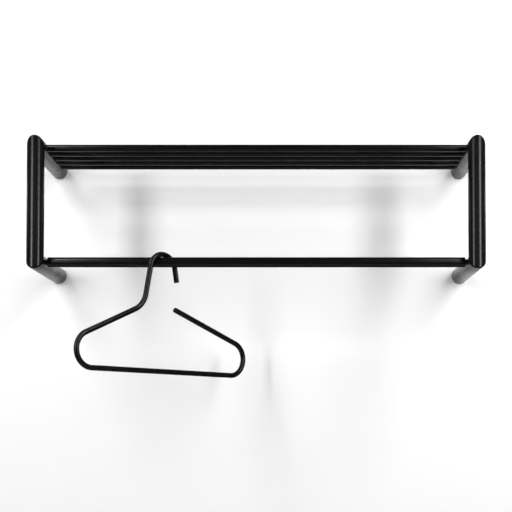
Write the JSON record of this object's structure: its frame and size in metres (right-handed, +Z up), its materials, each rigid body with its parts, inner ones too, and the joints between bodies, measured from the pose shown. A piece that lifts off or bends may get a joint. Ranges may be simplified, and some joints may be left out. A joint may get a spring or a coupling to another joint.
{
  "type": "wall-mounted coat rack with hat shelf",
  "caption": "Wall-mounted coat rack of round black tube: two mitred end frames, a hat shelf of parallel rods, a hanging rail and a bent-wire coat hanger that slides along it.",
  "frame": {"origin": "on the wall's surface, in the middle of the four arm ends", "axes": "+X to the right seen from the room, +Y into the wall, +Z up"},
  "size_m": [0.9, 0.3584, 0.4688],
  "materials": {
    "frame_coat": "black powder coat, semi-gloss, fine texture",
    "rod_coat": "black powder coat, semi-gloss, fine texture",
    "hanger_coat": "black powder coat on bent bar, satin",
    "boss_finish": "turned, black anodised",
    "set_screw_finish": "blackened steel"
  },
  "bodies": {
    "rack": {"left_front_post": "frame_coat", "left_upper_arm": "frame_coat", "left_lower_arm": "frame_coat", "right_front_post": "frame_coat", "right_upper_arm": "frame_coat", "right_lower_arm": "frame_coat", "shelf_rod_1": "rod_coat", "shelf_rod_2": "rod_coat", "shelf_rod_3": "rod_coat", "shelf_rod_4": "rod_coat", "shelf_rod_5": "rod_coat", "hanging_rail": "rod_coat", "left_rail_plug": "rod_coat", "right_rail_plug": "rod_coat", "left_upper_wall_boss": "boss_finish", "left_lower_wall_boss": "boss_finish", "right_upper_wall_boss": "boss_finish", "right_lower_wall_boss": "boss_finish", "left_upper_set_screw": "set_screw_finish", "left_lower_set_screw": "set_screw_finish", "right_upper_set_screw": "set_screw_finish", "right_lower_set_screw": "set_screw_finish"},
    "hanger": {"coat_hanger": "hanger_coat"}
  },
  "joints": [
    {"name": "hanger_slide", "type": "slide", "parent": "rack", "child": "hanger", "axis": [1, 0, 0], "range_m": [-0.205, 0.575]}
  ]
}
